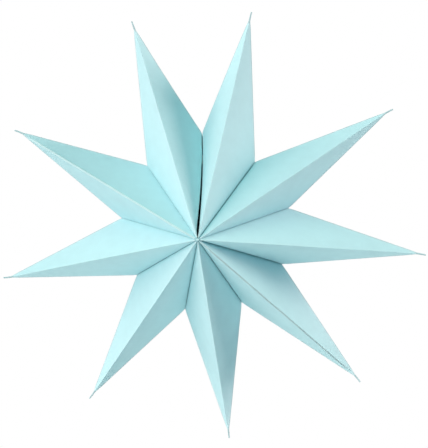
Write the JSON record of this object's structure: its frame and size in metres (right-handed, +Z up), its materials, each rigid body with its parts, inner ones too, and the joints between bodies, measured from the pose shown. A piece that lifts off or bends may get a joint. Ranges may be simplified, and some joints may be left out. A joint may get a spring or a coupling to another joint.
{
  "type": "folding paper star",
  "caption": "Folding paper star: creased card rays joined in a fan about a front-to-back axis and closed along one seam; hangs as a seasonal decoration.",
  "frame": {"origin": "the hanging point, midway between the front and back thread holes of the closure tabs, inside the top notch", "axes": "+Z up, towards the seam; -Y towards the front; +X to the right seen from the front"},
  "size_m": [0.4425, 0.1551, 0.4418],
  "materials": {
    "card": "pale aqua card, matt, fine fibre",
    "adhesive_foam": "white double-sided foam adhesive pad"
  },
  "bodies": {
    "ray_5_spine": {"ray_5_tip": "card"},
    "ray_1_front_left": {"ray_1_front_left": "card"},
    "ray_1_front_right": {"ray_1_front_right": "card"},
    "ray_1_back_left": {"ray_1_back_left": "card"},
    "ray_1_back_right": {"ray_1_back_right": "card"},
    "ray_1_spine": {"ray_1_tip": "card"},
    "ray_2_front_left": {"ray_2_front_left": "card"},
    "ray_2_front_right": {"ray_2_front_right": "card"},
    "ray_2_back_left": {"ray_2_back_left": "card"},
    "ray_2_back_right": {"ray_2_back_right": "card"},
    "ray_2_spine": {"ray_2_tip": "card", "ray_2_front_flange": "card"},
    "ray_2_back_flange": {"ray_2_back_flange": "card"},
    "ray_3_front_left": {"ray_3_front_left": "card"},
    "ray_3_front_right": {"ray_3_front_right": "card"},
    "ray_3_back_left": {"ray_3_back_left": "card"},
    "ray_3_back_right": {"ray_3_back_right": "card"},
    "ray_3_spine": {"ray_3_tip": "card"},
    "ray_4_front_left": {"ray_4_front_left": "card"},
    "ray_4_front_right": {"ray_4_front_right": "card"},
    "ray_4_back_left": {"ray_4_back_left": "card"},
    "ray_4_back_right": {"ray_4_back_right": "card"},
    "ray_4_spine": {"ray_4_tip": "card"},
    "ray_5_front_left": {"ray_5_front_left": "card"},
    "ray_5_front_right": {"ray_5_front_right": "card"},
    "ray_5_back_left": {"ray_5_back_left": "card"},
    "ray_5_back_right": {"ray_5_back_right": "card"},
    "ray_6_front_left": {"ray_6_front_left": "card"},
    "ray_6_front_right": {"ray_6_front_right": "card"},
    "ray_6_back_left": {"ray_6_back_left": "card"},
    "ray_6_back_right": {"ray_6_back_right": "card"},
    "ray_6_spine": {"ray_6_tip": "card", "ray_6_front_flange": "card"},
    "ray_6_back_flange": {"ray_6_back_flange": "card"},
    "ray_7_front_left": {"ray_7_front_left": "card"},
    "ray_7_front_right": {"ray_7_front_right": "card"},
    "ray_7_back_left": {"ray_7_back_left": "card"},
    "ray_7_back_right": {"ray_7_back_right": "card"},
    "ray_7_spine": {"ray_7_tip": "card"},
    "ray_8_front_left": {"ray_8_front_left": "card"},
    "ray_8_front_right": {"ray_8_front_right": "card"},
    "ray_8_back_left": {"ray_8_back_left": "card"},
    "ray_8_back_right": {"ray_8_back_right": "card"},
    "ray_8_spine": {"ray_8_tip": "card"},
    "ray_9_front_left": {"ray_9_front_left": "card"},
    "ray_9_front_right": {"ray_9_front_right": "card"},
    "ray_9_back_left": {"ray_9_back_left": "card"},
    "ray_9_back_right": {"ray_9_back_right": "card"},
    "ray_9_spine": {"ray_9_tip": "card"},
    "front_closure_left": {"front_closure_tab_left": "card", "front_closure_pad": "adhesive_foam"},
    "front_closure_right": {"front_closure_tab_right": "card"},
    "back_closure_left": {"back_closure_tab_left": "card", "back_closure_pad": "adhesive_foam"},
    "back_closure_right": {"back_closure_tab_right": "card"}
  },
  "joints": [
    {"name": "fold", "type": "hinge", "parent": "ray_5_spine", "child": "ray_5_front_left", "pos_m": [0.00194, -0.04454, -0.17079], "axis": [-0.0197, -0.3393, 0.9405], "range_deg": [0, 32.56]},
    {"name": "ray_5_right_ridge", "type": "hinge", "parent": "ray_5_spine", "child": "ray_5_front_right", "pos_m": [0.00194, -0.04454, -0.17079], "axis": [0.0197, 0.3393, -0.9405], "range_deg": [0, 32.57]},
    {"name": "valley_5", "type": "hinge", "parent": "ray_5_front_left", "child": "ray_6_front_right", "pos_m": [0.01515, -0.03848, -0.11851], "axis": [0.2505, 0.6808, -0.6883], "range_deg": [0, 83.78]},
    {"name": "ray_6_ridge", "type": "hinge", "parent": "ray_6_front_right", "child": "ray_6_front_left", "pos_m": [0.06121, -0.04453, -0.1481], "axis": [-0.6134, -0.3393, 0.7132], "range_deg": [0, 63.24]},
    {"name": "ray_6_spine_turn", "type": "hinge", "parent": "ray_6_front_right", "child": "ray_6_spine", "pos_m": [0.06121, -0.04453, -0.1481], "axis": [-0.6134, -0.3393, 0.7132], "range_deg": [0, 31.62]},
    {"name": "valley_6", "type": "hinge", "parent": "ray_6_front_left", "child": "ray_7_front_right", "pos_m": [0.03833, -0.03849, -0.09906], "axis": [0.6344, 0.6808, -0.3662], "range_deg": [0, 82.47]},
    {"name": "ray_7_ridge", "type": "hinge", "parent": "ray_7_front_right", "child": "ray_7_front_left", "pos_m": [0.09227, -0.04453, -0.09419], "axis": [-0.9246, -0.3393, 0.173], "range_deg": [0, 63.72]},
    {"name": "ray_7_spine_turn", "type": "hinge", "parent": "ray_7_front_right", "child": "ray_7_spine", "pos_m": [0.09227, -0.04453, -0.09419], "axis": [-0.9246, -0.3393, 0.173], "range_deg": [0, 31.87]},
    {"name": "valley_7", "type": "hinge", "parent": "ray_7_front_left", "child": "ray_8_front_right", "pos_m": [0.04381, -0.03874, -0.06921], "axis": [0.7253, 0.6765, 0.1279], "range_deg": [0, 84.8]},
    {"name": "ray_8_ridge", "type": "hinge", "parent": "ray_8_front_right", "child": "ray_8_front_left", "pos_m": [0.0821, -0.04453, -0.03141], "axis": [-0.8227, -0.3393, -0.456], "range_deg": [0, 63.2]},
    {"name": "ray_8_spine_turn", "type": "hinge", "parent": "ray_8_front_right", "child": "ray_8_spine", "pos_m": [0.0821, -0.04453, -0.03141], "axis": [-0.8227, -0.3393, -0.456], "range_deg": [0, 31.6]},
    {"name": "valley_8", "type": "hinge", "parent": "ray_8_front_left", "child": "ray_9_front_right", "pos_m": [0.02827, -0.0382, -0.04322], "axis": [0.4682, 0.6851, 0.558], "range_deg": [0, 91.82]},
    {"name": "ray_9_ridge", "type": "hinge", "parent": "ray_9_front_right", "child": "ray_9_front_left", "pos_m": [0.02589, -0.04456, 0.01331], "axis": [-0.2593, -0.3393, -0.9042], "range_deg": [0, 67.37]},
    {"name": "ray_9_spine_turn", "type": "hinge", "parent": "ray_9_front_right", "child": "ray_9_spine", "pos_m": [0.02589, -0.04456, 0.01331], "axis": [-0.2593, -0.3393, -0.9042], "range_deg": [0, 33.69]},
    {"name": "valley_4", "type": "hinge", "parent": "ray_5_front_right", "child": "ray_4_front_left", "pos_m": [-0.01543, -0.03949, -0.11937], "axis": [0.2558, -0.6638, 0.7028], "range_deg": [0, 87.96]},
    {"name": "ray_4_ridge", "type": "hinge", "parent": "ray_4_front_left", "child": "ray_4_front_right", "pos_m": [-0.05884, -0.04456, -0.15009], "axis": [-0.5894, 0.3393, -0.7331], "range_deg": [0, 67.48]},
    {"name": "ray_4_spine_turn", "type": "hinge", "parent": "ray_4_front_left", "child": "ray_4_spine", "pos_m": [-0.05884, -0.04456, -0.15009], "axis": [-0.5894, 0.3393, -0.7331], "range_deg": [0, 33.75]},
    {"name": "valley_3", "type": "hinge", "parent": "ray_4_front_right", "child": "ray_3_front_left", "pos_m": [-0.03929, -0.03974, -0.09962], "axis": [0.6509, -0.6597, 0.3758], "range_deg": [0, 90.03]},
    {"name": "ray_3_ridge", "type": "hinge", "parent": "ray_3_front_left", "child": "ray_3_front_right", "pos_m": [-0.09231, -0.04456, -0.09403], "axis": [-0.9249, 0.3393, -0.1714], "range_deg": [0, 68.02]},
    {"name": "ray_3_spine_turn", "type": "hinge", "parent": "ray_3_front_left", "child": "ray_3_spine", "pos_m": [-0.09231, -0.04456, -0.09403], "axis": [-0.9249, 0.3393, -0.1714], "range_deg": [0, 34.02]},
    {"name": "valley_2", "type": "hinge", "parent": "ray_3_front_right", "child": "ray_2_front_left", "pos_m": [-0.04468, -0.03973, -0.06905], "axis": [0.7401, -0.6597, -0.1305], "range_deg": [0, 91.23]},
    {"name": "ray_2_ridge", "type": "hinge", "parent": "ray_2_front_left", "child": "ray_2_front_right", "pos_m": [-0.08056, -0.04456, -0.02873], "axis": [-0.8072, 0.3393, 0.4831], "range_deg": [0, 67.52]},
    {"name": "ray_2_spine_turn", "type": "hinge", "parent": "ray_2_front_left", "child": "ray_2_spine", "pos_m": [-0.08056, -0.04456, -0.02873], "axis": [-0.8072, 0.3393, 0.4831], "range_deg": [0, 33.76]},
    {"name": "valley_1", "type": "hinge", "parent": "ray_2_front_right", "child": "ray_1_front_left", "pos_m": [-0.029, -0.03948, -0.04233], "axis": [0.4807, -0.6638, -0.5729], "range_deg": [0, 93.46]},
    {"name": "ray_1_ridge", "type": "hinge", "parent": "ray_1_front_left", "child": "ray_1_front_right", "pos_m": [-0.02528, -0.04457, 0.01349], "axis": [-0.253, 0.3393, 0.906], "range_deg": [0, 69.63]},
    {"name": "ray_1_spine_turn", "type": "hinge", "parent": "ray_1_front_left", "child": "ray_1_spine", "pos_m": [-0.02528, -0.04457, 0.01349], "axis": [-0.253, 0.3393, 0.906], "range_deg": [0, 34.82]},
    {"name": "ray_1_left_rim", "type": "hinge", "parent": "ray_1_front_left", "child": "ray_1_back_left", "pos_m": [-0.05768, 0, 0.06263], "axis": [-0.0118, 0, 0.9999], "range_deg": [0, 71.06]},
    {"name": "ray_1_right_rim", "type": "hinge", "parent": "ray_1_front_right", "child": "ray_1_back_right", "pos_m": [-0.02975, 0, 0.07688], "axis": [0.4592, 0, -0.8883], "range_deg": [0, 58.84]},
    {"name": "ray_2_left_rim", "type": "hinge", "parent": "ray_2_front_left", "child": "ray_2_back_left", "pos_m": [-0.13803, 0, -0.01263], "axis": [-0.7159, 0, 0.6982], "range_deg": [0, 65.39]},
    {"name": "ray_2_right_rim", "type": "hinge", "parent": "ray_2_front_right", "child": "ray_2_back_right", "pos_m": [-0.12267, 0, 0.01306], "axis": [0.9471, 0, -0.3209], "range_deg": [0, 60.66]},
    {"name": "ray_3_left_rim", "type": "hinge", "parent": "ray_3_front_left", "child": "ray_3_back_left", "pos_m": [-0.14662, 0, -0.11903], "axis": [-0.9993, 0, 0.037], "range_deg": [0, 62.42]},
    {"name": "ray_3_right_rim", "type": "hinge", "parent": "ray_3_front_right", "child": "ray_3_back_right", "pos_m": [-0.15184, 0, -0.08939], "axis": [0.9159, 0, 0.4015], "range_deg": [0, 64.56]},
    {"name": "ray_4_left_rim", "type": "hinge", "parent": "ray_4_front_left", "child": "ray_4_back_left", "pos_m": [-0.08405, 0, -0.20381], "axis": [-0.7751, 0, -0.6318], "range_deg": [0, 59.99]},
    {"name": "ray_4_right_rim", "type": "hinge", "parent": "ray_4_front_right", "child": "ray_4_back_right", "pos_m": [-0.10726, 0, -0.18492], "axis": [0.4266, 0, 0.9044], "range_deg": [0, 66]},
    {"name": "ray_5_left_rim", "type": "hinge", "parent": "ray_5_front_left", "child": "ray_5_back_left", "pos_m": [0.01649, 0, -0.22628], "axis": [-0.1734, 0, -0.9849], "range_deg": [0, 56.55]},
    {"name": "ray_5_right_rim", "type": "hinge", "parent": "ray_5_front_right", "child": "ray_5_back_right", "pos_m": [-0.01258, 0, -0.22813], "axis": [-0.2506, 0, 0.9681], "range_deg": [0, 65.11]},
    {"name": "ray_6_left_rim", "type": "hinge", "parent": "ray_6_front_left", "child": "ray_6_back_left", "pos_m": [0.10791, 0, -0.18136], "axis": [0.4887, 0, -0.8724], "range_deg": [0, 57.63]},
    {"name": "ray_6_right_rim", "type": "hinge", "parent": "ray_6_front_right", "child": "ray_6_back_right", "pos_m": [0.08615, 0, -0.1996], "axis": [-0.7971, 0, 0.6038], "range_deg": [0, 60.56]},
    {"name": "ray_7_left_rim", "type": "hinge", "parent": "ray_7_front_left", "child": "ray_7_back_left", "pos_m": [0.14984, 0, -0.08992], "axis": [0.921, 0, -0.3895], "range_deg": [0, 61.23]},
    {"name": "ray_7_right_rim", "type": "hinge", "parent": "ray_7_front_right", "child": "ray_7_back_right", "pos_m": [0.14443, 0, -0.11798], "axis": [-0.9999, 0, -0.0156], "range_deg": [0, 57.85]},
    {"name": "ray_8_left_rim", "type": "hinge", "parent": "ray_8_front_left", "child": "ray_8_back_left", "pos_m": [0.12287, 0, 0.008], "axis": [0.9567, 0, 0.2909], "range_deg": [0, 60.28]},
    {"name": "ray_8_right_rim", "type": "hinge", "parent": "ray_8_front_right", "child": "ray_8_back_right", "pos_m": [0.13789, 0, -0.01611], "axis": [-0.7605, 0, -0.6494], "range_deg": [0, 57.84]},
    {"name": "ray_9_left_rim", "type": "hinge", "parent": "ray_9_front_left", "child": "ray_9_back_left", "pos_m": [0.03049, 0, 0.07667], "axis": [0.4695, 0, 0.8829], "range_deg": [0, 59.94]},
    {"name": "ray_9_right_rim", "type": "hinge", "parent": "ray_9_front_right", "child": "ray_9_back_right", "pos_m": [0.05682, 0, 0.06052], "axis": [-0.0435, 0, -0.9991], "range_deg": [0, 65.84]},
    {"name": "ray_2_back_flange_turn", "type": "hinge", "parent": "ray_2_back_left", "child": "ray_2_back_flange", "pos_m": [-0.08056, 0.04456, -0.02873], "axis": [0.8072, 0.3393, -0.4831], "range_deg": [0, 33.76]},
    {"name": "ray_6_back_flange_turn", "type": "hinge", "parent": "ray_6_back_right", "child": "ray_6_back_flange", "pos_m": [0.06121, 0.04453, -0.1481], "axis": [0.6134, -0.3393, -0.7132], "range_deg": [0, 31.62]},
    {"name": "front_closure_left_turn", "type": "hinge", "parent": "ray_1_front_right", "child": "front_closure_left", "pos_m": [-0.0005, -0.02301, -0.00646], "axis": [0, -0.6315, -0.7754], "range_deg": [0, 39.31]},
    {"name": "front_closure_right_turn", "type": "hinge", "parent": "ray_9_front_left", "child": "front_closure_right", "pos_m": [0.0005, -0.02299, -0.00647], "axis": [0, 0.6315, 0.7754], "range_deg": [0, 40.11]},
    {"name": "back_closure_left_turn", "type": "hinge", "parent": "ray_1_back_right", "child": "back_closure_left", "pos_m": [-0.0005, 0.02301, -0.00646], "axis": [0, -0.6315, 0.7754], "range_deg": [0, 39.31]},
    {"name": "back_closure_right_turn", "type": "hinge", "parent": "ray_9_back_left", "child": "back_closure_right", "pos_m": [0.0005, 0.02299, -0.00647], "axis": [0, 0.6315, -0.7754], "range_deg": [0, 40.11]}
  ],
  "couplings": [
    {"joint": "ray_5_right_ridge", "follows": "fold", "ratio": 1},
    {"joint": "valley_5", "follows": "fold", "ratio": 2.573},
    {"joint": "ray_6_ridge", "follows": "fold", "ratio": 1.9419},
    {"joint": "ray_6_spine_turn", "follows": "fold", "ratio": 0.97095},
    {"joint": "valley_6", "follows": "fold", "ratio": 2.5326},
    {"joint": "ray_7_ridge", "follows": "fold", "ratio": 1.9568},
    {"joint": "ray_7_spine_turn", "follows": "fold", "ratio": 0.9784},
    {"joint": "valley_7", "follows": "fold", "ratio": 2.6041},
    {"joint": "ray_8_ridge", "follows": "fold", "ratio": 1.9407},
    {"joint": "ray_8_spine_turn", "follows": "fold", "ratio": 0.97036},
    {"joint": "valley_8", "follows": "fold", "ratio": 2.8197},
    {"joint": "ray_9_ridge", "follows": "fold", "ratio": 2.0688},
    {"joint": "ray_9_spine_turn", "follows": "fold", "ratio": 1.0344},
    {"joint": "valley_4", "follows": "fold", "ratio": 2.7012},
    {"joint": "ray_4_ridge", "follows": "fold", "ratio": 2.0724},
    {"joint": "ray_4_spine_turn", "follows": "fold", "ratio": 1.0362},
    {"joint": "valley_3", "follows": "fold", "ratio": 2.7648},
    {"joint": "ray_3_ridge", "follows": "fold", "ratio": 2.0889},
    {"joint": "ray_3_spine_turn", "follows": "fold", "ratio": 1.0444},
    {"joint": "valley_2", "follows": "fold", "ratio": 2.8018},
    {"joint": "ray_2_ridge", "follows": "fold", "ratio": 2.0734},
    {"joint": "ray_2_spine_turn", "follows": "fold", "ratio": 1.0367},
    {"joint": "valley_1", "follows": "fold", "ratio": 2.8701},
    {"joint": "ray_1_ridge", "follows": "fold", "ratio": 2.1383},
    {"joint": "ray_1_spine_turn", "follows": "fold", "ratio": 1.0692},
    {"joint": "ray_1_left_rim", "follows": "fold", "ratio": 2.1821},
    {"joint": "ray_1_right_rim", "follows": "fold", "ratio": 1.8069},
    {"joint": "ray_2_left_rim", "follows": "fold", "ratio": 2.0081},
    {"joint": "ray_2_right_rim", "follows": "fold", "ratio": 1.8629},
    {"joint": "ray_3_left_rim", "follows": "fold", "ratio": 1.9169},
    {"joint": "ray_3_right_rim", "follows": "fold", "ratio": 1.9827},
    {"joint": "ray_4_left_rim", "follows": "fold", "ratio": 1.8422},
    {"joint": "ray_4_right_rim", "follows": "fold", "ratio": 2.0268},
    {"joint": "ray_5_left_rim", "follows": "fold", "ratio": 1.7364},
    {"joint": "ray_5_right_rim", "follows": "fold", "ratio": 1.9995},
    {"joint": "ray_6_left_rim", "follows": "fold", "ratio": 1.7699},
    {"joint": "ray_6_right_rim", "follows": "fold", "ratio": 1.8596},
    {"joint": "ray_7_left_rim", "follows": "fold", "ratio": 1.8804},
    {"joint": "ray_7_right_rim", "follows": "fold", "ratio": 1.7764},
    {"joint": "ray_8_left_rim", "follows": "fold", "ratio": 1.851},
    {"joint": "ray_8_right_rim", "follows": "fold", "ratio": 1.7763},
    {"joint": "ray_9_left_rim", "follows": "fold", "ratio": 1.8405},
    {"joint": "ray_9_right_rim", "follows": "fold", "ratio": 2.022},
    {"joint": "ray_2_back_flange_turn", "follows": "fold", "ratio": 1.0367},
    {"joint": "ray_6_back_flange_turn", "follows": "fold", "ratio": 0.97095},
    {"joint": "front_closure_left_turn", "follows": "fold", "ratio": 1.2071},
    {"joint": "front_closure_right_turn", "follows": "fold", "ratio": 1.2316},
    {"joint": "back_closure_left_turn", "follows": "fold", "ratio": 1.2071},
    {"joint": "back_closure_right_turn", "follows": "fold", "ratio": 1.2316}
  ]
}
